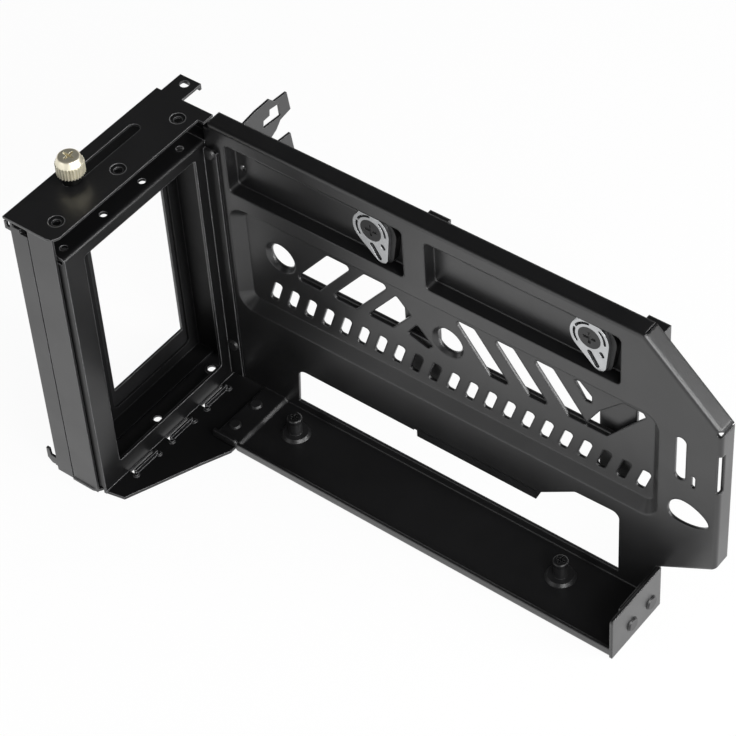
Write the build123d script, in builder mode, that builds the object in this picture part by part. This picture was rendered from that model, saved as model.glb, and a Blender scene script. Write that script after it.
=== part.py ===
from build123d import *
import os
from math import sqrt

# Vertical graphics card bracket, standing on its tray, in millimetres with +Z up

# Sheet thicknesses and clearances
panel_t = 1.2
frame_t = 1.2
case_t = 1.0
run_gap = 0.3
fit = 0.05
bend_r = 1.5

# Slot frame
slot_pitch = 20.32
slot_count = 4
ledge_height = 119.1
clamp_gap = 8.5
ledge_depth = 20.5
window_left = 64.7
window_right = 5.8
window_bottom = 9.8
window_drop = 5.3
window_r = 1.2
side_flange = 17.0
lap_flange = 5.8
flange_relief = 3.0
ledge_screw_inset = 4.3
ledge_screw_edge = 8.3
ledge_screw_r = 1.4

# Foot of the slot frame
foot_edge = 24.8
foot_nose = 7.3
foot_knee_x = 19.5
foot_knee_y = 43.4
foot_back = -1.2
tongue_length = 12.4
tongue_width = 2.0
tongue_x = 1.4
tongue_y = 54.8
ear_x = 3.8
ear_offset = 6.4
ear_r = 1.2
ear_h = 0.8
hood_gap = 0.2
hood_t = 0.9
hood_h = 2.0

# Side panel
panel_length = 215.2
flange_depth = 7.4
flange_start = 1.5
corner_notch = 2.2
slant_start = 184.3
slant_drop = 28.3
right_flange_end = 32.7
relief_r = 1.1
slit = 0.5
leg_left = 176.1
leg_right = 192.9
leg_shoulder = 19.1

# Cable cut-out between panel and tray
cutout_left = 32.3
cutout_sill = 5.2
cutout_top = 22.9
cutout_r = 4.0
lip_start = 88.0
lip_end = 140.6
lip_edge = 19.7
lip_rise = 4.8
lip_step = 0.5
lip_corner = 2.5
cutout_lean = 1.2
arch_start = 157.7
arch_drop = 6.3
arch_slope = 0.5
arch_r = 3.0

# Slider pockets in the panel
pocket_depth = 5.4
pocket_drop = 6.3
pocket_height = 22.0
pocket_r = 2.0
pocket_spans = ((9.0, 86.75), (96.05, 175.7))
pocket_hole_r = 1.2

# Stamped recess with 45 degree walls
recess_depth = 4.0
recess_left = 7.8
recess_right = 191.2
recess_drop = 6.7
recess_height = 50.7
recess_r = 7.0

# Openings through the floor of the recess, their heights over its lower edge
round_hole_x = (26.6, 101.3)
round_hole_z = 30.9
round_hole_r = 5.3
rim_r = 6.8
collar_wall = 1.1
collar_back = 6.5
left_slant_x = 33.0
left_slant_pitch = 16.4
left_slant_count = 2
left_slant_width = 11.2
left_slant_lean = 16.0
right_slant_x = 104.2
right_slant_pitch = 16.4
right_slant_count = 3
right_slant_width = 8.9
right_slant_lean = 15.2
slant_floor = 24.6
slant_top = 44.5
slant_r = 1.5
vent_count = 21
vent_x = 19.5
vent_pitch = 8.0
vent_floor = 7.5
vent_height = 9.6
vent_width = 3.8
vent_lean = 3.2

# Openings at the right end of the panel
end_slot_x = 199.65
end_slot_z = 78.85
end_slot_length = 20.5
end_slot_width = 4.3
short_slot_x = 204.9
short_slot_z = 70.4
short_slot_length = 5.8
short_slot_width = 1.6
odd_openings = [
    [(65.8, 24.6), (77.0, 24.6), (85.6, 35.3), (79.4, 41.7)],
    [(83.4, 25.6), (92.4, 22.8), (94.7, 25.2), (88.1, 32.3)],
    [(154.2, 44.3), (159.0, 36.7), (161.8, 36.7), (161.8, 40.3), (156.8, 44.9)],
    [(158.6, 24.5), (168.0, 24.5), (183.4, 43.0), (182.4, 44.7), (174.4, 44.7), (165.1, 35.4)],
]
odd_corner_r = 0.8
bean = [(195.5, 53.0), (204.2, 58.6), (211.6, 52.6), (202.6, 47.6)]
bend_slot_floor = 70.6
bend_slot_top = 88.6
bend_slot_inset = 1.6

# Rail spot-welded behind the recess, which the rear arms run along
rail_left = 14.0
rail_right = 186.0
rail_floor = 19.0
rail_top = 25.6
rail_t = 1.5

# Tray folded forward from the panel
tray_depth = 30.3
tray_start = 15.2
tray_lip = 4.3
joggle_start = 25.3
joggle_end = 26.5
end_flange_height = 19.6
end_flange_r = 1.2
tab_depth = 23.0
tab_height = 18.4
tab_gap = 0.1
tab_lift = 2.2

# Rivets, stand-offs and screws
rivet_r = 1.5
rivet_head_r = 2.5
rivet_head_h = 0.9
end_head_r = 2.9
rivet_tail_r = 2.1
rivet_tail_h = 0.6
riser_x = 39.1
riser_spacing = 120.0
riser_y = 10.9
riser_base_r = 5.8
riser_base_h = 1.2
riser_r = 2.6
riser_h = 5.4
screw_r = 1.5
screw_head_r = 2.9
screw_head_h = 2.2
screw_length = 5.0
cross_length = 3.2
cross_width = 0.8
cross_depth = 1.0

# Case-side frame, a channel of three walls
case_left = 25.3
case_right = 2.0
case_front = 75.5
case_back = 5.1
case_corner_r = 4.0
plate_ear = 0.6
case_hole_x = 8.3
case_hole_y = 66.9
case_hole_pitch = 31.75
case_hole_count = 3
case_hole_r = 1.6
case_collar_r = 2.5
case_collar_h = 0.5
case_sink_r = 2.7
wall_inset = 0.4
apron_left = 13.2
apron_right = 0.3
adjust_x = 17.8
adjust_width = 4.7
adjust_front = 52.0
adjust_back = 13.8
front_wall_left = 14.7
front_wall_right = 3.2
tab_left = 23.1
tab_right = 13.5
tab_reach = 15.5
tab_hole_y = 12.1
tab_hole_r = 1.8
tab_hem = 2.5

# Window liner welded inside the case-side frame
liner_front = 44.5
liner_back = 0.8
liner_edge = 6.6
liner_r = 2.5
liner_flange = 13.8
liner_flange_height = 112.0
liner_foot = 8.3
liner_weld_tab = 9.8
liner_tab_front = 57.0
liner_tab_back = 9.0

# Hook plate outside the liner
port_front = 41.9
port_back = 2.8
port_edge = 14.2
strip_right = 15.3
strip_top = 122.6
strip_foot = 0.2
strip_notch = 3.4
strip_ear = 1.6
hook_reach = 27.3
finger_reach = 70.2
finger_drop = 20.32

# Clamp between the slot frame and the case-side frame
clamp_y = 48.1
standoff_r = 2.5
standoff_neck_r = 1.9
thumb_r = 5.2
thumb_shoulder_r = 3.8
thumb_shoulder_h = 3.4
thumb_knurl_h = 4.6
thumb_dome_r = 4.9
thumb_dome_h = 2.8
thumb_dome_slope = 20
thumb_dome_round = 0.9
thumb_bore_grip = 1.45
thumb_reach = 11.5
thumb_flutes = 28
flute_r = 0.45
thumb_cross = 4.6
thumb_cross_width = 0.9
thumb_cross_depth = 1.6

# Sliders with their cam levers and rear arms
hub_x = (72.4, 162.5)
hub_drop = 8.1
lever_t = 1.5
lever_front = 1.1
lever_r = 7.7
lever_tip_r = 2.8
lever_tip_x = 3.9
lever_tip_z = -10.2
lever_arcs = ((95, 55), (165, 50), (0, 50))
lever_arc_r = 6.1
lever_arc_width = 1.0
lever_slots = (((1.7, -8.8), 7.4, 2.0), ((5.0, -5.2), 2.6, 1.5))
lever_slot_turn = -58
hub_r = 4.5
hub_step = 0.9
hub_neck_r = 3.0
pivot_r = 1.5
pivot_cross = 5.0
pivot_cross_width = 1.1
block_side_r = 6.6
block_side_x = 3.2
block_tail_r = 3.9
block_tail_x = 4.4
block_tail_z = -9.6
key_length = 10.0
key_height = 5.0
key_drop = 3.8
slider_travel = 49.0
arm_t = 1.2
arm_bottom = 37.0
arm_left = (7.6, 0.1)
arm_width = 14.9
arm_hook_left = (17.9, 15.9)
arm_hook_width = 8.6
arm_hook_drop = 3.6
arm_screw_spacing = 5.6
arm_screw_r = 1.2
arm_screw_head_r = 2.2
arm_screw_head_h = 1.3
arm_shoulder_drop = 31.6
arm_neck_drop = 19.6
arm_foot_drop = 10.6
arm_lip = 4.3

# Heights that follow from the ledge
overall_height = ledge_height + clamp_gap
window_top = ledge_height - window_drop
pocket_top = overall_height - pocket_drop
pocket_bottom = pocket_top - pocket_height
recess_top = pocket_bottom - recess_drop
recess_bottom = recess_top - recess_height
arch_height = recess_bottom - arch_drop
hub_z = pocket_top - hub_drop
key_z = pocket_top - key_drop
arm_top = overall_height - arm_hook_drop
frame_width = case_front - wall_inset - case_t - run_gap

# The middle of the whole part stands over the origin
face_x = (hook_reach - panel_length) / 2
face_y = (case_front - finger_reach) / 2

# Working planes through the corner where slot frame, panel and floor meet
FLOOR = Plane(origin=(face_x, face_y, 0))
FRONT = Plane(origin=(face_x, face_y, 0), x_dir=(1, 0, 0), z_dir=(0, -1, 0))
SIDE = Plane(origin=(face_x, face_y, 0), x_dir=(0, 1, 0), z_dir=(1, 0, 0))

lap_rivets = ((lap_flange / 2, 18.9), (lap_flange / 2, 115.1))
foot_rivets = ((18.5, -21.6), (18.5, -9.2))
end_rivets = ((-18.1, 6.8), (-6.4, 6.8))
risers = ((riser_x, -riser_y), (riser_x + riser_spacing, -riser_y))
clamp = (-adjust_x, -clamp_y)
ledge_screws = [(-ledge_screw_inset, -ledge_screw_edge - n * slot_pitch) for n in range(slot_count)]
tongues = [-tongue_y + n * slot_pitch for n in range(slot_count - 1)]
case_holes = [(-case_hole_x, -case_hole_y + n * case_hole_pitch) for n in range(case_hole_count)]
arm_y = flange_depth + run_gap

os.makedirs("parts", exist_ok=True)


def tray_section(plane, lift):
    """Section across the tray: front lip, floor and the foot of the panel."""
    with BuildSketch(plane) as section:
        with BuildLine():
            Polyline(
                (-tray_depth, lift + tray_lip),
                (-tray_depth, lift),
                (panel_t, lift),
                (panel_t, lift + cutout_sill),
                (0, lift + cutout_sill),
                (0, lift + panel_t),
                (-tray_depth + panel_t, lift + panel_t),
                (-tray_depth + panel_t, lift + tray_lip),
                close=True,
            )
        make_face()
        fillet(section.vertices().group_by(Axis.Y)[0], bend_r)
    return section.sketch


def slanted(x, floor, top, width, lean):
    """A slanted opening with rounded corners, drawn in the current sketch."""
    with BuildSketch(mode=Mode.PRIVATE) as opening:
        with BuildLine():
            Polyline(
                (x, floor),
                (x + width, floor),
                (x + width + lean, top),
                (x + lean, top),
                close=True,
            )
        make_face()
        fillet(opening.vertices(), min(slant_r, width / 3))
    add(opening.sketch)


# Main panel with its tray, one stamped and folded sheet
panel_outline = [
    (0, cutout_sill),
    (0, overall_height - corner_notch),
    (flange_start, overall_height - corner_notch),
    (flange_start, overall_height),
    (slant_start, overall_height),
    (panel_length, overall_height - slant_drop),
    (panel_length, right_flange_end),
    (leg_right, leg_shoulder),
    (leg_right, cutout_sill),
]
with BuildPart() as main_panel:
    with BuildSketch(FRONT):
        with BuildLine():
            Polyline(*panel_outline, close=True)
        make_face()
    extrude(amount=-flange_depth)
    front_edges = main_panel.edges().group_by(Axis.Y)[0]
    fillet(front_edges.filter_by(
        lambda e: e.center().Z > overall_height - slant_drop
        or e.center().X > face_x + panel_length - panel_t).filter_by(
        lambda e: e.center().X > face_x + panel_t), bend_r)
    # Hollow behind, with flanges turned back along the top, the slant and the right edge
    with BuildSketch(FRONT.offset(-panel_t)):
        with BuildLine():
            Polyline(*panel_outline, close=True)
        make_face()
        with BuildLine():
            Polyline(*panel_outline[3:7])
            offset(amount=panel_t, side=Side.RIGHT, kind=Kind.INTERSECTION, closed=True)
        make_face(mode=Mode.SUBTRACT)
    extrude(amount=panel_t - flange_depth, mode=Mode.SUBTRACT)
    # Slits and a relief hole where neighbouring flanges meet
    with BuildSketch(FRONT.offset(-bend_r)):
        for corner_x, corner_z, turn in (
                (slant_start, overall_height, 68), (panel_length, overall_height - slant_drop, 21)):
            with Locations(Location((corner_x, corner_z, 0), (0, 0, turn))):
                Rectangle(4 * panel_t, slit)
    extrude(amount=-flange_depth, mode=Mode.SUBTRACT)
    with BuildSketch(FRONT):
        with Locations((panel_length - panel_t, overall_height - slant_drop - 0.4)):
            Circle(relief_r)
    extrude(amount=-flange_depth, mode=Mode.SUBTRACT)
    # Pockets for the sliders
    for start, end in pocket_spans:
        middle = ((start + end) / 2, (pocket_bottom + pocket_top) / 2)
        size = (end - start, pocket_top - pocket_bottom)
        with BuildSketch(FRONT.offset(-panel_t)):
            with Locations(middle):
                RectangleRounded(size[0] + 2 * panel_t, size[1] + 2 * panel_t, pocket_r + panel_t)
        extrude(amount=-pocket_depth)
        with BuildSketch(FRONT):
            with Locations(middle):
                RectangleRounded(*size, pocket_r)
        extrude(amount=-pocket_depth, mode=Mode.SUBTRACT)
    # Guide slots behind the sliders and a small hole at the end of the first pocket
    with BuildSketch(FRONT.offset(-pocket_depth)):
        for x in hub_x:
            with Locations((x - slider_travel / 2, key_z)):
                Rectangle(slider_travel + key_length + 2 * run_gap, key_height + 2 * run_gap)
        with Locations((pocket_spans[0][0] + 3.0, pocket_bottom + 8.6)):
            Circle(pocket_hole_r)
    extrude(amount=-panel_t, mode=Mode.SUBTRACT)
    # Recess
    back_grow = panel_t * (sqrt(2) - 1)
    recess_middle = ((recess_left + recess_right) / 2, (recess_bottom + recess_top) / 2)
    recess_size = (recess_right - recess_left, recess_top - recess_bottom)
    with BuildSketch(FRONT.offset(-panel_t)):
        with Locations(recess_middle):
            RectangleRounded(
                recess_size[0] + 2 * back_grow, recess_size[1] + 2 * back_grow,
                recess_r + back_grow)
    extrude(amount=-recess_depth, taper=45)
    with BuildSketch(FRONT):
        with Locations(recess_middle):
            RectangleRounded(*recess_size, recess_r)
    extrude(amount=-recess_depth, taper=45, mode=Mode.SUBTRACT)
    # Openings through the floor of the recess
    with BuildSketch(FRONT.offset(-recess_depth)):
        for n in range(left_slant_count):
            slanted(left_slant_x + n * left_slant_pitch, recess_bottom + slant_floor,
                    recess_bottom + slant_top, left_slant_width, left_slant_lean)
        for n in range(right_slant_count):
            slanted(right_slant_x + right_slant_lean + n * right_slant_pitch,
                    recess_bottom + slant_floor, recess_bottom + slant_top,
                    right_slant_width, -right_slant_lean)
        for corners in odd_openings:
            with BuildSketch(mode=Mode.PRIVATE) as opening:
                with BuildLine():
                    Polyline(*[(x, recess_bottom + z) for x, z in corners], close=True)
                make_face()
                fillet(opening.vertices(), odd_corner_r)
            add(opening.sketch)
        for n in range(vent_count):
            slanted(vent_x + n * vent_pitch, recess_bottom + vent_floor,
                    recess_bottom + vent_floor + vent_height, vent_width, vent_lean)
    extrude(amount=-panel_t, mode=Mode.SUBTRACT)
    # Round holes with a flared rim and a collar drawn through to the back
    for x in round_hole_x:
        centre = (x, recess_bottom + round_hole_z)
        with BuildSketch(FRONT.offset(-recess_depth)):
            with Locations(centre):
                Circle(round_hole_r + collar_wall)
        extrude(amount=recess_depth - collar_back)
        with BuildSketch(FRONT.offset(-recess_depth)):
            with Locations(centre):
                Circle(round_hole_r)
        extrude(amount=recess_depth - collar_back, mode=Mode.SUBTRACT)
        with BuildSketch(FRONT.offset(-recess_depth)):
            with Locations(centre):
                Circle(rim_r)
        extrude(amount=round_hole_r - rim_r, taper=45, mode=Mode.SUBTRACT)
    # Openings at the right end
    with BuildSketch(FRONT):
        with Locations((end_slot_x, end_slot_z)):
            SlotOverall(end_slot_length, end_slot_width, rotation=90)
        with Locations((short_slot_x, short_slot_z)):
            SlotOverall(short_slot_length, short_slot_width, rotation=90)
        with BuildLine():
            Spline(*bean, periodic=True)
        make_face()
        with Locations((panel_length - bend_slot_inset / 2, (bend_slot_floor + bend_slot_top) / 2)):
            Rectangle(bend_slot_inset, bend_slot_top - bend_slot_floor)
    extrude(amount=-2 * panel_t, mode=Mode.SUBTRACT)
    # Cut-out for the riser cable, its right side rising to an arch
    with BuildSketch(FRONT):
        with BuildLine():
            Polyline(
                (cutout_left, cutout_sill),
                (cutout_left + cutout_lean, cutout_top),
                (lip_start, cutout_top),
                (lip_start, lip_edge),
                (lip_end, lip_edge),
                (lip_end + lip_corner, cutout_top + lip_corner),
                (arch_start, arch_height - arch_slope),
                (leg_left, arch_height),
                (leg_left, cutout_sill),
                close=True,
            )
        make_face()
        fillet(vertices().sort_by_distance((cutout_left + cutout_lean, cutout_top))[0], cutout_r)
        fillet(vertices().sort_by_distance((leg_left, arch_height))[0], arch_r)
        fillet(vertices().sort_by_distance((arch_start, arch_height - arch_slope))[0], arch_r)
    extrude(amount=-panel_t, mode=Mode.SUBTRACT)
    # Shallow step along the lip over the cut-out
    with BuildSketch(FRONT):
        with Locations(((lip_start + lip_end) / 2, lip_edge + lip_rise / 2)):
            Rectangle(lip_end - lip_start + 2, lip_rise)
    extrude(amount=-lip_step, mode=Mode.SUBTRACT)
    # Tray, stepped up at its left end over the foot of the slot frame
    extrude(tray_section(SIDE.offset(joggle_end), 0), amount=leg_right - joggle_end)
    loft([tray_section(SIDE.offset(joggle_start), panel_t).face(),
          tray_section(SIDE.offset(joggle_end), 0).face()], ruled=True)
    extrude(tray_section(SIDE.offset(tray_start), panel_t), amount=joggle_start - tray_start)
    # End flange folded up, and the tab folded in from the leg beside it
    with BuildSketch(SIDE.offset(leg_right)):
        with BuildLine():
            Polyline(
                (-tray_depth, 0), (-slit, 0), (-slit, end_flange_height),
                (-tray_depth, end_flange_height), close=True)
        make_face()
        fillet(vertices().group_by(Axis.Y)[-1].sort_by(Axis.X)[0], end_flange_r)
    extrude(amount=panel_t)
    with BuildSketch(SIDE.offset(leg_right - tab_gap)):
        with Locations((-tab_depth / 2 + panel_t / 2, (tab_lift + tab_height) / 2)):
            RectangleRounded(tab_depth + panel_t, tab_height - tab_lift, 1.0)
    extrude(amount=-panel_t)
    # Panel foot left of the cut-out, cleared over the foot of the slot frame
    with BuildSketch(FRONT):
        with BuildLine():
            Polyline(
                (0, 2 * frame_t), (tray_start, 2 * frame_t), (tray_start, cutout_sill + 2),
                (0, cutout_sill + 2), close=True)
        make_face()
    extrude(amount=-panel_t)
    # Holes for rivets and stand-offs
    with BuildSketch(FRONT):
        with Locations(*lap_rivets):
            Circle(rivet_r + fit)
    extrude(amount=-panel_t, mode=Mode.SUBTRACT)
    with BuildSketch(FLOOR):
        with Locations(*foot_rivets):
            Circle(rivet_r + fit)
        with Locations(*risers):
            Circle(riser_r + fit)
    extrude(amount=2 * panel_t, mode=Mode.SUBTRACT)
    with BuildSketch(SIDE.offset(leg_right + panel_t)):
        with Locations(*end_rivets):
            Circle(rivet_r + fit)
    extrude(amount=-2 * panel_t - tab_gap, mode=Mode.SUBTRACT)
main_panel.part.label = "main_panel"
export_step(main_panel.part, "parts/main_panel.step")

# Rail behind the recess, notched round the collars
with BuildPart() as rear_rail:
    with BuildSketch(FRONT.offset(-recess_depth - panel_t)):
        with Locations(((rail_left + rail_right) / 2, recess_bottom + (rail_floor + rail_top) / 2)):
            Rectangle(rail_right - rail_left, rail_top - rail_floor)
        with Locations(*[(x, recess_bottom + round_hole_z) for x in round_hole_x]):
            Circle(round_hole_r + collar_wall + run_gap, mode=Mode.SUBTRACT)
    extrude(amount=-rail_t)
rear_rail.part.label = "rear_rail"
export_step(rear_rail.part, "parts/rear_rail.step")

# Slot frame: face with its window, ledge, side flanges and foot, one folded sheet
with BuildPart() as slot_frame:
    with BuildSketch(SIDE):
        with Locations((-frame_width / 2, ledge_height / 2)):
            Rectangle(frame_width, ledge_height)
        with Locations(((-window_left - window_right) / 2, (window_bottom + window_top) / 2)):
            RectangleRounded(
                window_left - window_right, window_top - window_bottom, window_r,
                mode=Mode.SUBTRACT)
    extrude(amount=-frame_t)
    # Ledge turned back under the clamp
    with BuildSketch(FLOOR.offset(ledge_height)):
        with Locations((-ledge_depth / 2, -frame_width / 2)):
            Rectangle(ledge_depth, frame_width)
    extrude(amount=-frame_t)
    # Side flange turned back, kept clear of ledge and floor
    with BuildSketch(FRONT.offset(frame_width)):
        with Locations((-side_flange / 2, ledge_height / 2)):
            Rectangle(side_flange, ledge_height - 2 * flange_relief)
    extrude(amount=-frame_t)
    # Lap flange lying on the panel
    with BuildSketch(FRONT):
        with Locations(((lap_flange - frame_t) / 2, ledge_height / 2)):
            Rectangle(lap_flange + frame_t, ledge_height - 2 * flange_relief)
    extrude(amount=frame_t)
    # Foot with its slanted nose, reaching under the tray
    with BuildSketch(FLOOR):
        with BuildLine():
            Polyline(
                (-frame_t, -foot_back),
                (-frame_t, -frame_width),
                (foot_nose, -frame_width + 1.7),
                (foot_knee_x, -foot_knee_y),
                (foot_edge, -tray_depth - 1.6),
                (foot_edge, -foot_back),
                close=True,
            )
        make_face()
    extrude(amount=frame_t)
    fillet(slot_frame.edges().filter_by(Axis.Y).group_by(Axis.Z)[-1].sort_by(Axis.X)[-1], bend_r)
    # Screw holes in the ledge, on the pitch of the card slots
    with BuildSketch(FLOOR.offset(ledge_height)):
        with Locations(*ledge_screws):
            Circle(ledge_screw_r)
        with Locations(clamp):
            Circle(standoff_neck_r + fit)
    extrude(amount=-frame_t, mode=Mode.SUBTRACT)
    # Slots for the card tongues, each between two raised ears
    with BuildSketch(FLOOR):
        for y in tongues:
            with Locations((tongue_x, y)):
                Rectangle(tongue_width, tongue_length)
        with Locations(*foot_rivets):
            Circle(rivet_r + fit)
    extrude(amount=frame_t, mode=Mode.SUBTRACT)
    with BuildSketch(FLOOR.offset(frame_t)):
        for y in tongues:
            with Locations((ear_x, y - ear_offset), (ear_x, y + ear_offset)):
                Circle(ear_r)
    extrude(amount=ear_h, taper=25)
    # Hood turned up beside each slot
    with BuildSketch(FLOOR.offset(frame_t)):
        for y in tongues:
            with Locations((tongue_x + tongue_width / 2 + hood_gap + hood_t / 2, y)):
                Rectangle(hood_t, tongue_length)
    extrude(amount=hood_h)
    with BuildSketch(FRONT):
        with Locations(*lap_rivets):
            Circle(rivet_r + fit)
    extrude(amount=frame_t, mode=Mode.SUBTRACT)
slot_frame.part.label = "slot_frame"
export_step(slot_frame.part, "parts/slot_frame.step")

# Rivets through the lap flange and the panel
with BuildPart() as lap_rivet_pair:
    with BuildSketch(FRONT.offset(frame_t)):
        with Locations(*lap_rivets):
            Circle(rivet_head_r)
    extrude(amount=rivet_head_h, taper=30)
    with BuildSketch(FRONT.offset(frame_t)):
        with Locations(*lap_rivets):
            Circle(rivet_r)
    extrude(amount=-frame_t - panel_t)
    with BuildSketch(FRONT.offset(-panel_t)):
        with Locations(*lap_rivets):
            Circle(rivet_tail_r)
    extrude(amount=-rivet_tail_h)
lap_rivet_pair.part.label = "lap_rivets"
export_step(lap_rivet_pair.part, "parts/lap_rivets.step")

# Rivets through the tray and the foot, flush underneath
with BuildPart() as foot_rivet_pair:
    with BuildSketch(FLOOR.offset(frame_t + panel_t)):
        with Locations(*foot_rivets):
            Circle(rivet_head_r)
    extrude(amount=rivet_head_h, taper=30)
    with BuildSketch(FLOOR.offset(frame_t + panel_t)):
        with Locations(*foot_rivets):
            Circle(rivet_r)
    extrude(amount=-frame_t - panel_t)
foot_rivet_pair.part.label = "foot_rivets"
export_step(foot_rivet_pair.part, "parts/foot_rivets.step")

# Rivets through the end flange and the tab
with BuildPart() as end_rivet_pair:
    with BuildSketch(SIDE.offset(leg_right + panel_t)):
        with Locations(*end_rivets):
            Circle(end_head_r)
    extrude(amount=rivet_head_h, taper=30)
    with BuildSketch(SIDE.offset(leg_right + panel_t)):
        with Locations(*end_rivets):
            Circle(rivet_r)
    extrude(amount=-2 * panel_t - tab_gap)
    with BuildSketch(SIDE.offset(leg_right - panel_t - tab_gap)):
        with Locations(*end_rivets):
            Circle(rivet_tail_r)
    extrude(amount=-rivet_tail_h)
end_rivet_pair.part.label = "end_rivets"
export_step(end_rivet_pair.part, "parts/end_rivets.step")

# Stand-offs for the riser board, swaged into the tray
with BuildPart() as riser_standoffs:
    with BuildSketch(FLOOR.offset(panel_t)):
        with Locations(*risers):
            Circle(riser_base_r)
    extrude(amount=riser_base_h, taper=40)
    with BuildSketch(FLOOR.offset(fit)):
        with Locations(*risers):
            Circle(riser_r)
    extrude(amount=panel_t + riser_base_h + riser_h)
    with BuildSketch(FLOOR.offset(fit)):
        with Locations(*risers):
            Circle(screw_r + fit)
    extrude(amount=panel_t + riser_base_h + riser_h, mode=Mode.SUBTRACT)
riser_standoffs.part.label = "riser_standoffs"
export_step(riser_standoffs.part, "parts/riser_standoffs.step")

# Pan-head screws in the stand-offs, with a cross recess
riser_top = panel_t + riser_base_h + riser_h + fit
with BuildPart() as riser_screws:
    with BuildSketch(FLOOR.offset(riser_top)):
        with Locations(*risers):
            Circle(screw_head_r)
    extrude(amount=screw_head_h)
    fillet(riser_screws.edges().group_by(Axis.Z)[-1], 0.9)
    with BuildSketch(FLOOR.offset(riser_top)):
        with Locations(*risers):
            Circle(screw_r)
    extrude(amount=-screw_length)
    with BuildSketch(FLOOR.offset(riser_top + screw_head_h)):
        with Locations(*risers):
            Rectangle(cross_length, cross_width)
            Rectangle(cross_width, cross_length)
    extrude(amount=-cross_depth, mode=Mode.SUBTRACT)
riser_screws.part.label = "riser_screws"
export_step(riser_screws.part, "parts/riser_screws.step")

# Threaded stand-off of the clamp, swaged into the ledge
clamp_top = overall_height - case_t - run_gap
with BuildPart() as clamp_standoff:
    with BuildSketch(FLOOR.offset(ledge_height)):
        with Locations(clamp):
            Circle(standoff_r)
    extrude(amount=clamp_top - ledge_height)
    with BuildSketch(FLOOR.offset(ledge_height)):
        with Locations(clamp):
            Circle(standoff_neck_r)
    extrude(amount=-frame_t)
    with BuildSketch(FLOOR.offset(clamp_top)):
        with Locations(clamp):
            Circle(thumb_bore_grip + fit)
    extrude(amount=-clamp_top + ledge_height - frame_t, mode=Mode.SUBTRACT)
clamp_standoff.part.label = "clamp_standoff"
export_step(clamp_standoff.part, "parts/clamp_standoff.step")

# Knurled thumb screw with a cross recess in its domed top
thumb_seat = overall_height + run_gap
with BuildPart() as thumb_screw:
    with BuildSketch(FLOOR.offset(thumb_seat)):
        with Locations(clamp):
            Circle(thumb_shoulder_r)
    extrude(amount=thumb_shoulder_h)
    with BuildSketch(FLOOR.offset(thumb_seat + thumb_shoulder_h)):
        with Locations(clamp):
            Circle(thumb_r)
            with PolarLocations(thumb_r, thumb_flutes):
                Circle(flute_r, mode=Mode.SUBTRACT)
    extrude(amount=thumb_knurl_h)
    with BuildSketch(FLOOR.offset(thumb_seat + thumb_shoulder_h + thumb_knurl_h)):
        with Locations(clamp):
            Circle(thumb_dome_r)
    extrude(amount=thumb_dome_h, taper=thumb_dome_slope)
    fillet(thumb_screw.edges().group_by(Axis.Z)[-1], thumb_dome_round)
    with BuildSketch(FLOOR.offset(thumb_seat)):
        with Locations(clamp):
            Circle(thumb_bore_grip)
    extrude(amount=-thumb_reach)
    with BuildSketch(FLOOR.offset(thumb_seat + thumb_shoulder_h + thumb_knurl_h + thumb_dome_h)):
        with Locations(clamp):
            Rectangle(thumb_cross, thumb_cross_width)
            Rectangle(thumb_cross_width, thumb_cross)
    extrude(amount=-thumb_cross_depth, mode=Mode.SUBTRACT)
thumb_screw.part.label = "thumb_screw"
export_step(thumb_screw.part, "parts/thumb_screw.step")

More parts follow.
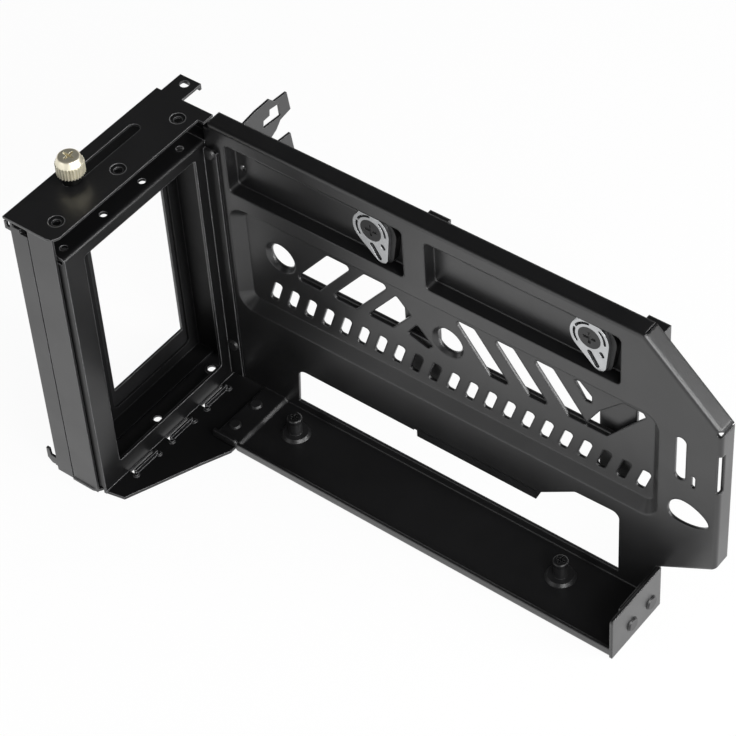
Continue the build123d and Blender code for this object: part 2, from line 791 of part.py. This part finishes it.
# Case-side frame: top and bottom plates joined by a front wall, one folded sheet
with BuildPart() as slide_frame:
    for level, way in ((overall_height, -1), (0, 1)):
        with BuildSketch(FLOOR.offset(level)):
            with BuildLine():
                Polyline(
                    (-case_left, -case_front),
                    (-case_right, -case_front),
                    (-case_right, case_back),
                    (-case_left, case_back),
                    close=True,
                )
            make_face()
            fillet(vertices().group_by(Axis.Y)[0].sort_by(Axis.X)[-1], case_corner_r)
            with Locations((-(tab_left + tab_right) / 2, (case_back + tab_reach) / 2)):
                Rectangle(tab_left - tab_right, tab_reach - case_back)
            with Locations(*case_holes):
                Circle(case_hole_r, mode=Mode.SUBTRACT)
            with Locations((-(tab_left + tab_right) / 2, tab_hole_y)):
                Circle(tab_hole_r, mode=Mode.SUBTRACT)
            with Locations((-adjust_x, -(adjust_front + adjust_back) / 2)):
                SlotOverall(
                    adjust_front - adjust_back, adjust_width, rotation=90, mode=Mode.SUBTRACT)
        extrude(amount=way * case_t)
        # Extruded collars under the tapped holes
        with BuildSketch(FLOOR.offset(level + way * case_t)):
            with Locations(*case_holes):
                Circle(case_collar_r)
                Circle(case_hole_r, mode=Mode.SUBTRACT)
        extrude(amount=way * case_collar_h)
        with BuildSketch(FLOOR.offset(level)):
            with Locations(*case_holes):
                Circle(case_sink_r)
        extrude(amount=way * (case_sink_r - case_hole_r) / 2, taper=way * 63.4, mode=Mode.SUBTRACT)
    # Ear of the top plate beside the panel
    with BuildSketch(FLOOR.offset(overall_height)):
        with Locations(((plate_ear - case_right) / 2, case_back / 2)):
            Rectangle(plate_ear + case_right, case_back)
    extrude(amount=-case_t)
    # Apron turned down from the back of the top plate, over the ledge
    with BuildSketch(FRONT.offset(-case_back)):
        with Locations((-(apron_left + apron_right) / 2, (overall_height + ledge_height + run_gap) / 2)):
            Rectangle(apron_left - apron_right, overall_height - ledge_height - run_gap)
    extrude(amount=case_t)
    # Front wall, set back under the lips of the plates
    with BuildSketch(FRONT.offset(case_front - wall_inset)):
        with Locations((-(front_wall_left + front_wall_right) / 2, overall_height / 2)):
            Rectangle(front_wall_left - front_wall_right, overall_height)
    extrude(amount=-case_t)
    # Hem turned down round the back tab of the top plate
    with BuildSketch(FLOOR.offset(overall_height)):
        with Locations((-(tab_left + tab_right) / 2, tab_reach - case_t / 2)):
            Rectangle(tab_left - tab_right, case_t)
    extrude(amount=-tab_hem)
    # Room for the strip of the hook plate
    with BuildSketch(FLOOR):
        with Locations((-(case_left + front_wall_left + run_gap) / 2, -case_front)):
            Rectangle(case_left - front_wall_left - run_gap, 2 * (wall_inset + case_t + run_gap))
    extrude(amount=case_t, mode=Mode.SUBTRACT)
slide_frame.part.label = "slide_frame"
export_step(slide_frame.part, "parts/slide_frame.step")

# Window liner: inner wall with a wide window, a back flange, weld tabs and a foot
liner_x = ledge_depth + run_gap
wall_back = case_front - wall_inset - case_t
with BuildPart() as window_liner:
    with BuildSketch(SIDE.offset(-liner_x)):
        with Locations(((case_back - wall_back) / 2, overall_height / 2)):
            Rectangle(wall_back + case_back, overall_height - 2 * case_t)
        with Locations((-(liner_front + liner_back) / 2, overall_height / 2)):
            RectangleRounded(
                liner_front - liner_back, overall_height - 2 * liner_edge, liner_r,
                mode=Mode.SUBTRACT)
    extrude(amount=-case_t)
    # Back flange
    with BuildSketch(FRONT.offset(-case_back)):
        with Locations((-liner_x - case_t + liner_flange / 2, (liner_flange_height + case_t) / 2)):
            Rectangle(liner_flange, liner_flange_height - case_t)
    extrude(amount=case_t)
    # Tabs welded under the top plate, clear of the clamp slot, and a foot on the bottom plate
    with BuildSketch(FLOOR.offset(overall_height - case_t)):
        for front, back in ((wall_back, liner_tab_front), (liner_tab_back, case_t - case_back)):
            with Locations((-liner_x - case_t + liner_weld_tab / 2, -(front + back) / 2)):
                Rectangle(liner_weld_tab, front - back)
    extrude(amount=-case_t)
    with BuildSketch(FLOOR.offset(case_t)):
        with Locations((-liner_x - case_t + liner_foot / 2, (case_back - wall_back) / 2)):
            Rectangle(liner_foot, wall_back + case_back)
    extrude(amount=case_t)
window_liner.part.label = "window_liner"
export_step(window_liner.part, "parts/window_liner.step")

# Hook plate: outer wall with the port window, front strip, hooks and two long fingers
plate_x = liner_x + case_t
finger = [(1.0, 70.0), (38.0, 70.0), (45.0, 73.0), (54.0, 64.4), (58.4, 67.3), (61.2, 68.7),
          (64.0, 71.7), (70.2, 72.7), (68.9, 81.9), (61.7, 82.5), (59.1, 85.2), (50.8, 85.2),
          (44.8, 84.4), (38.0, 83.0), (1.0, 83.0)]
upper_hook = [(-22.3, -5.8), (-25.4, -5.8), (-25.4, -2.3), (-24.4, -2.3), (-24.4, -4.4), (-22.3, -4.4)]
lower_hook = [(-22.3, 2.6), (-25.4, 2.6), (-27.3, 4.6), (-27.3, 9.6), (-25.9, 9.6), (-25.6, 6.4), (-22.3, 6.4)]
finger_slot = [(54.1, 74.4), (64.3, 73.5), (63.8, 79.8), (58.5, 80.6), (58.2, 77.9), (54.6, 77.8)]
with BuildPart() as hook_plate:
    with BuildSketch(SIDE.offset(-plate_x)):
        with Locations(((case_back - case_front + wall_inset) / 2, overall_height / 2)):
            Rectangle(case_front - wall_inset + case_back, overall_height - 2 * case_t)
        with Locations((-(port_front + port_back) / 2, overall_height / 2)):
            Rectangle(
                port_front - port_back, overall_height - 2 * port_edge, mode=Mode.SUBTRACT)
        for drop in (0, finger_drop):
            with BuildLine():
                Polyline(*[(y, z - drop) for y, z in finger], close=True)
            make_face()
            with BuildLine():
                Polyline(*[(y, z - drop) for y, z in finger_slot], close=True)
            make_face(mode=Mode.SUBTRACT)
    extrude(amount=-case_t)
    # Front strip beside the front wall
    with BuildSketch(FRONT.offset(case_front - wall_inset)):
        with BuildLine():
            Polyline(
                (-plate_x - case_t, strip_foot),
                (-strip_right, strip_foot),
                (-strip_right, strip_top),
                (-strip_right - strip_notch, strip_top),
                (-strip_right - strip_notch, strip_top + strip_ear),
                (-plate_x - case_t, strip_top + strip_ear),
                close=True,
            )
        make_face()
        # Upper and lower hook for the case, their heights over the plate's edges
        for corners, level in ((upper_hook, overall_height), (lower_hook, 0)):
            with BuildLine():
                Polyline(*[(x, level + z) for x, z in corners], close=True)
            make_face()
    extrude(amount=-case_t)
hook_plate.part.label = "hook_plate"
export_step(hook_plate.part, "parts/hook_plate.step")

# Sliders, each with its cam lever, pivot screw, rear arm and arm screws
for number, (x, left, hook) in enumerate(zip(hub_x, arm_left, arm_hook_left), start=1):
    block_y = lever_front + lever_t + fit
    block_back = pocket_depth - run_gap
    arm_screws_at = ((x - arm_screw_spacing / 2, key_z), (x + arm_screw_spacing / 2, key_z))
    with BuildPart() as slider_block:
        with BuildSketch(FRONT.offset(-block_y)):
            with Locations((x, hub_z)):
                Circle(lever_r)
            with Locations((x + block_side_x, hub_z)):
                Circle(block_side_r)
            with Locations((x + block_tail_x, hub_z + block_tail_z)):
                Circle(block_tail_r)
            make_hull()
        extrude(amount=block_y - block_back)
        # Key through the guide slot up to the rear arm
        with BuildSketch(FRONT.offset(-block_back)):
            with Locations((x, key_z)):
                Rectangle(key_length, key_height)
        extrude(amount=block_back - arm_y)
        with BuildSketch(FRONT.offset(-block_y)):
            with Locations((x, hub_z)):
                Circle(pivot_r + fit)
        extrude(amount=block_y - block_back, mode=Mode.SUBTRACT)
        with BuildSketch(FRONT.offset(-arm_y)):
            with Locations(*arm_screws_at):
                Circle(arm_screw_r + fit)
        extrude(amount=arm_y - block_back, mode=Mode.SUBTRACT)
    slider_block.part.label = f"slider_block_{number}"
    export_step(slider_block.part, f"parts/slider_block_{number}.step")

    with BuildPart() as cam_lever:
        with BuildSketch(FRONT.offset(-lever_front)):
            with Locations((x, hub_z)):
                Circle(lever_r)
            with Locations((x + lever_tip_x, hub_z + lever_tip_z)):
                Circle(lever_tip_r)
            make_hull()
        extrude(amount=-lever_t)
        # Seat for the pivot screw: wide at the front, narrow behind
        with BuildSketch(FRONT.offset(-lever_front)):
            with Locations((x, hub_z)):
                Circle(hub_r)
        extrude(amount=-hub_step, mode=Mode.SUBTRACT)
        with BuildSketch(FRONT.offset(-lever_front)):
            with Locations((x, hub_z)):
                Circle(hub_neck_r + fit)
            # Thin arcs round the hub and a long slot down the tail
            for start, turn in lever_arcs:
                with BuildLine():
                    CenterArc((x, hub_z), lever_arc_r, start, turn)
                    offset(amount=lever_arc_width / 2)
                make_face()
            for (slot_x, slot_z), length, width in lever_slots:
                with Locations((x + slot_x, hub_z + slot_z)):
                    SlotOverall(length, width, rotation=lever_slot_turn)
        extrude(amount=-lever_t, mode=Mode.SUBTRACT)
    cam_lever.part.label = f"cam_lever_{number}"
    export_step(cam_lever.part, f"parts/cam_lever_{number}.step")

    with BuildPart() as pivot_screw:
        with BuildSketch(FRONT.offset(-lever_front)):
            with Locations((x, hub_z)):
                Circle(hub_r - fit)
        extrude(amount=-hub_step + fit)
        with BuildSketch(FRONT.offset(-lever_front)):
            with Locations((x, hub_z)):
                Circle(hub_neck_r)
        extrude(amount=-lever_t - fit)
        with BuildSketch(FRONT.offset(-lever_front)):
            with Locations((x, hub_z)):
                Circle(pivot_r)
        extrude(amount=lever_front - block_back)
        with BuildSketch(FRONT.offset(-lever_front)):
            with Locations((x, hub_z)):
                Rectangle(pivot_cross, pivot_cross_width)
                Rectangle(pivot_cross_width, pivot_cross)
        extrude(amount=-hub_step / 2, mode=Mode.SUBTRACT)
    pivot_screw.part.label = f"pivot_screw_{number}"
    export_step(pivot_screw.part, f"parts/pivot_screw_{number}.step")

    with BuildPart() as rear_arm:
        with BuildSketch(FRONT.offset(-arm_y)):
            with BuildLine():
                Polyline(
                    (x + left, arm_bottom),
                    (x + left + arm_width, arm_bottom),
                    (x + left + arm_width, overall_height - arm_shoulder_drop),
                    (x + hook, overall_height - arm_neck_drop),
                    (x + hook + arm_hook_width, overall_height - arm_foot_drop),
                    (x + hook + arm_hook_width, arm_top),
                    (x + hook, arm_top),
                    (x + hook, pocket_top + run_gap),
                    (x - key_length / 2, pocket_top + run_gap),
                    (x - key_length / 2, overall_height - arm_neck_drop),
                    (x + left, overall_height - arm_shoulder_drop),
                    close=True,
                )
            make_face()
            with Locations(*arm_screws_at):
                Circle(arm_screw_r + fit, mode=Mode.SUBTRACT)
        extrude(amount=-arm_t)
        # Lips folded back along the top and the right side of the hook
        with BuildSketch(FRONT.offset(-arm_y)):
            with Locations((x + hook + arm_hook_width / 2, arm_top - arm_t / 2)):
                Rectangle(arm_hook_width, arm_t)
            with Locations((x + hook + arm_hook_width - arm_t / 2,
                            (overall_height - arm_foot_drop + arm_top) / 2)):
                Rectangle(arm_t, arm_foot_drop - arm_hook_drop)
        extrude(amount=-arm_lip)
    rear_arm.part.label = f"rear_arm_{number}"
    export_step(rear_arm.part, f"parts/rear_arm_{number}.step")

    with BuildPart() as arm_screws:
        with BuildSketch(FRONT.offset(-arm_y - arm_t)):
            with Locations(*arm_screws_at):
                Circle(arm_screw_head_r)
        extrude(amount=-arm_screw_head_h)
        with BuildSketch(FRONT.offset(-arm_y - arm_t)):
            with Locations(*arm_screws_at):
                Circle(arm_screw_r)
        extrude(amount=arm_t + arm_y - block_back)
    arm_screws.part.label = f"arm_screws_{number}"
    export_step(arm_screws.part, f"parts/arm_screws_{number}.step")
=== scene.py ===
import bmesh
import bpy
from mathutils import Matrix, Vector


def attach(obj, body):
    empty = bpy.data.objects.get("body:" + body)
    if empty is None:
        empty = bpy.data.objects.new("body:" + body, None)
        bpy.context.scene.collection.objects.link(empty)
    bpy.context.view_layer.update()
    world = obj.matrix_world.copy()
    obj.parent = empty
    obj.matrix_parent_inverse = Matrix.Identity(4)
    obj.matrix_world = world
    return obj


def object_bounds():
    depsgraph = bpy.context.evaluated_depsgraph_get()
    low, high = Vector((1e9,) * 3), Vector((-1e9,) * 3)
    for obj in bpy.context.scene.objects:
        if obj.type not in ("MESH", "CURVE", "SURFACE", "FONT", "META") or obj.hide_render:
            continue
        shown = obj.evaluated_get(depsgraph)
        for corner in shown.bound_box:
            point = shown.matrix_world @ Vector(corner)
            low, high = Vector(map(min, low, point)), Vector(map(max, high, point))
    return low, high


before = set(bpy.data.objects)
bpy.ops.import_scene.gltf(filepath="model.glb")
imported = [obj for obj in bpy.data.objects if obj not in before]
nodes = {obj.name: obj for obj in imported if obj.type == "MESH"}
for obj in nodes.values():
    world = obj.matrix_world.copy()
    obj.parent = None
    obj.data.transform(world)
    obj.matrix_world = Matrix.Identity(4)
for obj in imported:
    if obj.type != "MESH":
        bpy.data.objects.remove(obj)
cad_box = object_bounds()
scene = bpy.context.scene
MM = 0.001


def add(name, data):
    """A new object in the scene."""
    made = bpy.data.objects.new(name, data)
    scene.collection.objects.link(made)
    return made


# Camera, at the angle of the photograph, its place in millimetres
CAMERA_AT = (427.85, -523.85, 764.50)
CAMERA_RIGHT = (0.79101, 0.60946, -0.05340)
CAMERA_UP = (-0.41055, 0.59350, 0.69224)
LENS = 136.31
SENSOR = 36.0
right = Vector(CAMERA_RIGHT).normalized()
back = right.cross(Vector(CAMERA_UP)).normalized()
up = back.cross(right)
camera_data = bpy.data.cameras.new("camera")
camera_data.lens = LENS
camera_data.sensor_width = SENSOR
camera_data.sensor_fit = "HORIZONTAL"
camera_data.clip_start = 0.01
camera_data.clip_end = 50.0
camera = add("camera", camera_data)
turn = Matrix((right, up, back)).transposed().to_4x4()
camera.matrix_world = Matrix.Translation(Vector(CAMERA_AT) * MM) @ turn
scene.camera = camera


class Tree:
    """The node tree of a material or world, with short calls for its nodes."""

    def __init__(self, owner):
        owner.use_nodes = True
        self.tree = owner.node_tree

    def node(self, kind, inputs, **settings):
        """A new node. Each of its inputs gets a plain value or another node's output."""
        made = self.tree.nodes.new(kind)
        for key, value in settings.items():
            setattr(made, key, value)
        self.feed(made, inputs)
        return made

    def feed(self, made, inputs):
        for key, value in inputs.items():
            if isinstance(value, bpy.types.NodeSocket):
                self.tree.links.new(value, made.inputs[key])
            else:
                made.inputs[key].default_value = value

    def math(self, operation, first, second):
        return self.node("ShaderNodeMath", {0: first, 1: second}, operation=operation).outputs[0]

    def mix(self, factor, first, last):
        """One of two shaders, or a mix of them, by a factor from 0 to 1."""
        return self.node("ShaderNodeMixShader", {"Fac": factor, 1: first, 2: last}).outputs[0]

    def ramp(self, source, low, high, first, last, **settings):
        """The source's range from low to high, carried over to first and last."""
        inputs = {"Value": source, "From Min": low, "From Max": high, "To Min": first, "To Max": last}
        return self.node("ShaderNodeMapRange", inputs, **settings).outputs["Result"]


# Edges in the materials: rays of each bevel node, and how far its normal turns where an edge starts and is full
BEVEL_SAMPLES = 6
EDGE_START = 0.985
EDGE_FULL = 0.8


class Look(Tree):
    """A node material with the helpers that the looks share."""

    def __init__(self, name):
        self.material = bpy.data.materials.new(name)
        super().__init__(self.material)
        self.shader = self.tree.nodes["Principled BSDF"]
        self.coords = self.node("ShaderNodeTexCoord", {}).outputs["Object"]

    def noise(self, scale, detail, roughness, stretch=None):
        """Noise of so many waves per metre, stretched along an axis where stretch is small."""
        coords = self.coords
        if stretch:
            coords = self.node("ShaderNodeMapping", {"Scale": stretch, "Vector": coords}).outputs["Vector"]
        inputs = {"Scale": scale, "Detail": detail, "Roughness": roughness, "Vector": coords}
        return self.node("ShaderNodeTexNoise", inputs).outputs["Fac"]

    def blend(self, factor, first, last):
        """A colour between two, each an output or three numbers."""
        first, last = (c if isinstance(c, bpy.types.NodeSocket) else (*c, 1.0) for c in (first, last))
        return self.node("ShaderNodeMix", {"Factor": factor, 6: first, 7: last}, data_type="RGBA").outputs[2]

    def bump(self, height, strength, distance, under):
        inputs = {"Height": height, "Strength": strength, "Distance": distance, "Normal": under}
        return self.node("ShaderNodeBump", inputs).outputs["Normal"]

    def bevel(self, radius):
        """Normals rounded over edges, the radius in millimetres."""
        return self.node("ShaderNodeBevel", {"Radius": radius * MM}, samples=BEVEL_SAMPLES).outputs["Normal"]

    def edge(self, rounded):
        """1 on edges and 0 on flat faces, from rounded normals against the true ones."""
        true = self.node("ShaderNodeNewGeometry", {}).outputs["Normal"]
        dot = self.node("ShaderNodeVectorMath", {0: rounded, 1: true}, operation="DOT_PRODUCT")
        return self.ramp(dot.outputs["Value"], EDGE_START, EDGE_FULL, 0.0, 1.0)


# Paint: waves per metre of its noises, the bumps' strengths and depths in metres
CLOUD, SMEAR, WEAR_AND_HIGHLIGHT, PEEL, DUST = 18.0, 55.0, 420.0, 1500.0, 4800.0
CLOUD_LIFT = 1.25
PEEL_STRENGTH, PEEL_DEPTH = 0.22, 0.00006
DUST_STRENGTH, DUST_DEPTH = 0.18, 0.00003
COAT_SMOOTHER = 0.08


def coated(name, colour, rough, edge_wear_and_highlight_colour, edge_radius=0.45, grain=1.0, coat=0.0, soft=1.0, shine=0.5):
    """Powder coated steel: satin clear layer, fine orange peel, faint clouds, and edges lighter in colour as
    rubbed wear and painted highlight.

    The rubbed wear and painted highlight reach edge_radius from an edge, and soft is the radius that edges are
    rounded to, in millimetres.
    """
    look = Look(name)
    cloud = look.ramp(look.noise(CLOUD, 3.0, 0.5), 0.35, 0.7, 0.0, 1.0)
    body = look.blend(cloud, colour, tuple(c * CLOUD_LIFT for c in colour))
    # Edges take a lighter colour, partly rubbed wear and partly a painted highlight along the bends, broken up
    # by noise.
    wear_and_highlight = look.ramp(look.noise(WEAR_AND_HIGHLIGHT, 4.0, 0.7), 0.3, 0.62, 0.35, 1.0)
    rubbed_and_highlit = look.math("MULTIPLY", look.edge(look.bevel(edge_radius)), wear_and_highlight)
    peel = look.bump(look.noise(PEEL, 2.0, 0.5), PEEL_STRENGTH * grain, PEEL_DEPTH, look.bevel(soft))
    dust = look.bump(look.noise(DUST, 1.0, 0.5), DUST_STRENGTH * grain, DUST_DEPTH, peel)
    look.feed(look.shader, {
        "Base Color": look.blend(rubbed_and_highlit, body, edge_wear_and_highlight_colour),
        "Roughness": look.ramp(look.noise(SMEAR, 3.0, 0.5), 0.3, 0.75, rough - 0.05, rough + 0.07),
        "Normal": dust,
        "Specular IOR Level": shine,
        "Coat Weight": coat,
        "Coat Roughness": rough - COAT_SMOOTHER,
        "Coat Normal": peel,
    })
    return look.material


# Bare metal: waves per metre of its noises, depth of the brushing, and the foot of the knurl, below which the
# neck is painted black as shade, in metres
BRUSHING, STAIN = 900.0, 120.0
BRUSH_DEPTH = 0.00004
STAIN_DARK, EDGE_BRIGHT = 0.82, 1.12
METAL_EDGE = 0.25
KNURL_FOOT = 0.1313
NECK_SHADE_SOFT = 0.1 * MM
NECK_SHADE_BLACK = (0.012, 0.012, 0.012)


def metal(name, colour, rough, scratch, along, bare=1.0, shade_below=None):
    """Bare metal with fine brushing, stains and rounded edges, painted black below the height of its neck as
    shade under the knurl.
    """
    look = Look(name)
    rounded = look.bevel(METAL_EDGE)
    lines = look.noise(BRUSHING, 3.0, 0.6, along)
    stain = look.ramp(look.noise(STAIN, 4.0, 0.6), 0.35, 0.7, 0.0, 1.0)
    body = look.blend(stain, tuple(c * STAIN_DARK for c in colour), colour)
    body = look.blend(look.edge(rounded), body, tuple(min(1.0, c * EDGE_BRIGHT) for c in colour))
    if shade_below:
        # Painted shade: below the neck's height the colour turns black, partly the shoulder's own dark, mostly
        # the shade under the knurl.
        height = look.node("ShaderNodeSeparateXYZ", {0: look.coords}).outputs["Z"]
        body = look.blend(look.ramp(height, shade_below - NECK_SHADE_SOFT, shade_below + NECK_SHADE_SOFT, 0.0, 1.0), NECK_SHADE_BLACK, body)
    look.feed(look.shader, {
        "Base Color": body,
        "Roughness": look.ramp(lines, 0.3, 0.7, rough - 0.06, rough + 0.08),
        "Normal": look.bump(lines, scratch, BRUSH_DEPTH, rounded),
        "Metallic": bare,
    })
    return look.material


# The fourth value of each finish is its edge colour: rubbed wear and a painted highlight along edges and bends,
# the brightest ones mostly painted highlight.
sheet_black = coated("sheet_black", (0.0062, 0.0062, 0.0066), 0.36, (0.035, 0.035, 0.037), coat=0.5)
# The slot frame's finish is a darker copy of the black coat: its lower base colour is painted shade, and its
# bright edge colour a painted highlight along the ledge's bend.
frame_black = coated("frame_black", (0.0048, 0.0048, 0.0051), 0.36, (0.28, 0.28, 0.29),
                     coat=0.14, soft=0.7, shine=0.38)
case_black = coated("case_black", (0.0085, 0.0085, 0.009), 0.38, (0.18, 0.18, 0.185), coat=0.38, soft=0.45)
# The window liner's finish is a darker, duller copy of the black coat: painted shade on the walls inside the
# window.
liner_shaded_black = coated("liner_shaded_black", (0.0045, 0.0045, 0.0048), 0.5, (0.03, 0.03, 0.032), soft=0.4, shine=0.25)
rivet_black = coated("rivet_black", (0.009, 0.009, 0.0095), 0.40, (0.05, 0.05, 0.05),
                     edge_radius=0.3, coat=0.2, soft=0.3)
screw_black = coated("screw_black", (0.005, 0.005, 0.0054), 0.36, (0.08, 0.08, 0.08), edge_radius=0.2, soft=0.25)
block_black = coated("block_black", (0.004, 0.004, 0.0043), 0.5, (0.01, 0.01, 0.01),
                     edge_radius=0.3, grain=1.6, soft=0.4)
lever_silver = metal("lever_silver", (0.60, 0.61, 0.62), 0.38, 0.3, (1.0, 1.0, 0.08))
# The knob's neck under the knurl is painted black as shade.
knob_gold = metal("knob_gold", (0.94, 0.88, 0.70), 0.34, 0.25, (1.0, 1.0, 0.2), bare=0.8, shade_below=KNURL_FOOT)

finishes = {
    "main_panel": sheet_black, "rear_rail": sheet_black, "slot_frame": frame_black, "slide_frame": case_black,
    "window_liner": liner_shaded_black, "hook_plate": case_black, "lap_rivets": rivet_black,
    "foot_rivets": rivet_black, "end_rivets": rivet_black, "riser_standoffs": rivet_black,
    "riser_screws": screw_black, "clamp_standoff": rivet_black, "thumb_screw": knob_gold,
}
for number in (1, 2):
    finishes[f"slider_block_{number}"] = block_black
    finishes[f"cam_lever_{number}"] = lever_silver
    finishes[f"pivot_screw_{number}"] = screw_black
    finishes[f"rear_arm_{number}"] = sheet_black
    finishes[f"arm_screws_{number}"] = screw_black
for name, material in finishes.items():
    mesh = nodes[name].data
    mesh.materials.clear()
    mesh.materials.append(material)

# The ledge's tail behind the slot frame, which closes the view under the sliding plate
TAIL_LOW = Vector((-0.11445, 0.0027, 0.11795))
TAIL_HIGH = Vector((-0.09405, 0.0077, 0.11905))
TAIL_EDGE = 0.2 * MM
tail_mesh = bpy.data.meshes.new("ledge_tail")
strip = bmesh.new()
place = Matrix.Translation((TAIL_LOW + TAIL_HIGH) / 2) @ Matrix.Diagonal((*(TAIL_HIGH - TAIL_LOW), 1.0))
bmesh.ops.create_cube(strip, size=1.0, matrix=place)
bmesh.ops.bevel(strip, geom=list(strip.edges), offset=TAIL_EDGE, segments=2, profile=0.5, affect="EDGES")
strip.to_mesh(tail_mesh)
strip.free()
tail_mesh.materials.append(frame_black)
tail = add("ledge_tail", tail_mesh)
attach(tail, "frame")

# White floor: almost all glow to the camera, so that a faint shadow stays, and all glow in reflections
FLOOR_GLOW = 0.94
FLOOR_WHITE = (0.95, 0.95, 0.95, 1.0)
FLOOR_HALF = 3.0
FLOOR_GAP = 0.2 * MM
stage_look = bpy.data.materials.new("stage_white")
stage = Tree(stage_look)
stage.tree.nodes.clear()
rays = stage.node("ShaderNodeLightPath", {}).outputs
seen = stage.math("MULTIPLY", rays["Is Camera Ray"], FLOOR_GLOW)
mirrored = stage.math("MAXIMUM", rays["Is Glossy Ray"], rays["Is Transmission Ray"])
matt = stage.node("ShaderNodeBsdfDiffuse", {"Color": FLOOR_WHITE}).outputs[0]
glow = stage.node("ShaderNodeEmission", {"Strength": 1.0}).outputs[0]
stage.node("ShaderNodeOutputMaterial", {"Surface": stage.mix(stage.math("MAXIMUM", seen, mirrored), matt, glow)})

floor_mesh = bpy.data.meshes.new("floor")
corners = [(-1, -1), (1, -1), (1, 1), (-1, 1)]
floor_mesh.from_pydata([(x * FLOOR_HALF, y * FLOOR_HALF, 0) for x, y in corners], [], [(0, 1, 2, 3)])
floor_mesh.materials.append(stage_look)
floor = add("floor", floor_mesh)
floor.location.z = cad_box[0][2] - FLOOR_GAP

# World: white to the camera, a white sweep under a dim ceiling in reflections, soft grey light otherwise
CEILING = 0.02
SWEEP_TOP = 0.35
AMBIENT = 0.3
world = bpy.data.worlds.new("world")
scene.world = world
sky = Tree(world)
sky.tree.nodes.clear()


def white(strength):
    return sky.node("ShaderNodeBackground", {"Color": (1.0, 1.0, 1.0, 1.0), "Strength": strength}).outputs[0]


rays = sky.node("ShaderNodeLightPath", {}).outputs
heading = sky.node("ShaderNodeTexCoord", {}).outputs["Generated"]
height = sky.node("ShaderNodeSeparateXYZ", {0: heading}).outputs["Z"]
sweep = sky.ramp(height, 0.0, SWEEP_TOP, 1.0, CEILING, interpolation_type="SMOOTHSTEP")
through = sky.math("MAXIMUM", rays["Is Camera Ray"], rays["Is Transmission Ray"])
lit = sky.mix(rays["Is Glossy Ray"], white(AMBIENT), white(sweep))
sky.node("ShaderNodeOutputWorld", {"Surface": sky.mix(through, lit, white(1.0))})

# Area lamps: name, place and size in metres, power in watts
MIDDLE = Vector((0.0, 0.0, 0.06))
LAMPS = (
    ("key", (1.0, -0.45, 0.7), (0.8, 0.8), 14.0),
    ("side", (1.1, 0.35, 0.3), (0.5, 0.9), 14.0),
    ("rim", (0.95, 0.62, 0.2), (0.5, 0.15), 1.6),
    ("fill", (-0.5, -1.1, 0.5), (0.9, 0.9), 2.4),
)
for name, spot, size, power in LAMPS:
    data = bpy.data.lights.new(name, "AREA")
    data.shape = "RECTANGLE"
    data.size, data.size_y = size
    data.energy = power
    lamp = add(name, data)
    lamp.location = spot
    lamp.rotation_euler = (MIDDLE - Vector(spot)).to_track_quat("-Z", "Y").to_euler()

scene.view_settings.view_transform = "Standard"
